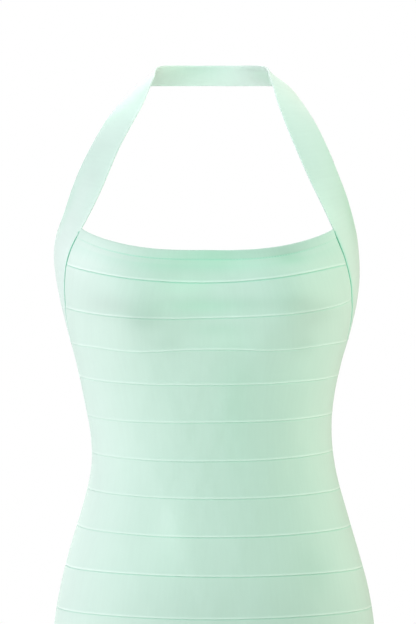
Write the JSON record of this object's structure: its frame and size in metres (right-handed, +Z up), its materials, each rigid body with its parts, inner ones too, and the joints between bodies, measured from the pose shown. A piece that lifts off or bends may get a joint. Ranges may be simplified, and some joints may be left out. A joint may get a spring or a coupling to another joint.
{
  "type": "bodycon dress",
  "caption": "Short halter-neck bodycon dress of horizontal knit bands, worn and hollow, with a wide strap round the nape, a straight neckline and an open back.",
  "frame": {"origin": "where the nape of the neck holds the strap: the strap's inner face at the centre back, half way up its width", "axes": "+Z up, -Y out of the dress's front, +X to the wearer's left"},
  "size_m": [0.3345, 0.2558, 0.8561],
  "materials": {
    "band_knit": "matt mint bandage knit with a fine upright rib, sewn in overlapping bands",
    "strap_knit": "matt mint bandage knit, one folded band with a fine rib along it"
  },
  "bodies": {
    "root": {"front_band_01": "band_knit", "front_band_02": "band_knit", "front_band_03": "band_knit", "front_band_04": "band_knit", "front_band_05": "band_knit", "front_band_06": "band_knit", "front_band_07": "band_knit", "front_band_08": "band_knit", "front_band_09": "band_knit", "front_band_10": "band_knit", "front_band_11": "band_knit", "front_band_12": "band_knit", "front_band_13": "band_knit", "front_band_14": "band_knit", "front_band_15": "band_knit", "front_band_16": "band_knit", "front_band_17": "band_knit", "back_band_01": "band_knit", "back_band_02": "band_knit", "back_band_03": "band_knit", "back_band_04": "band_knit", "back_band_05": "band_knit", "back_band_06": "band_knit", "back_band_07": "band_knit", "back_band_08": "band_knit", "back_band_09": "band_knit", "back_band_10": "band_knit", "back_band_11": "band_knit", "back_band_12": "band_knit", "back_band_13": "band_knit", "back_band_14": "band_knit", "back_band_15": "band_knit", "halter_strap": "strap_knit"}
  },
  "joints": []
}
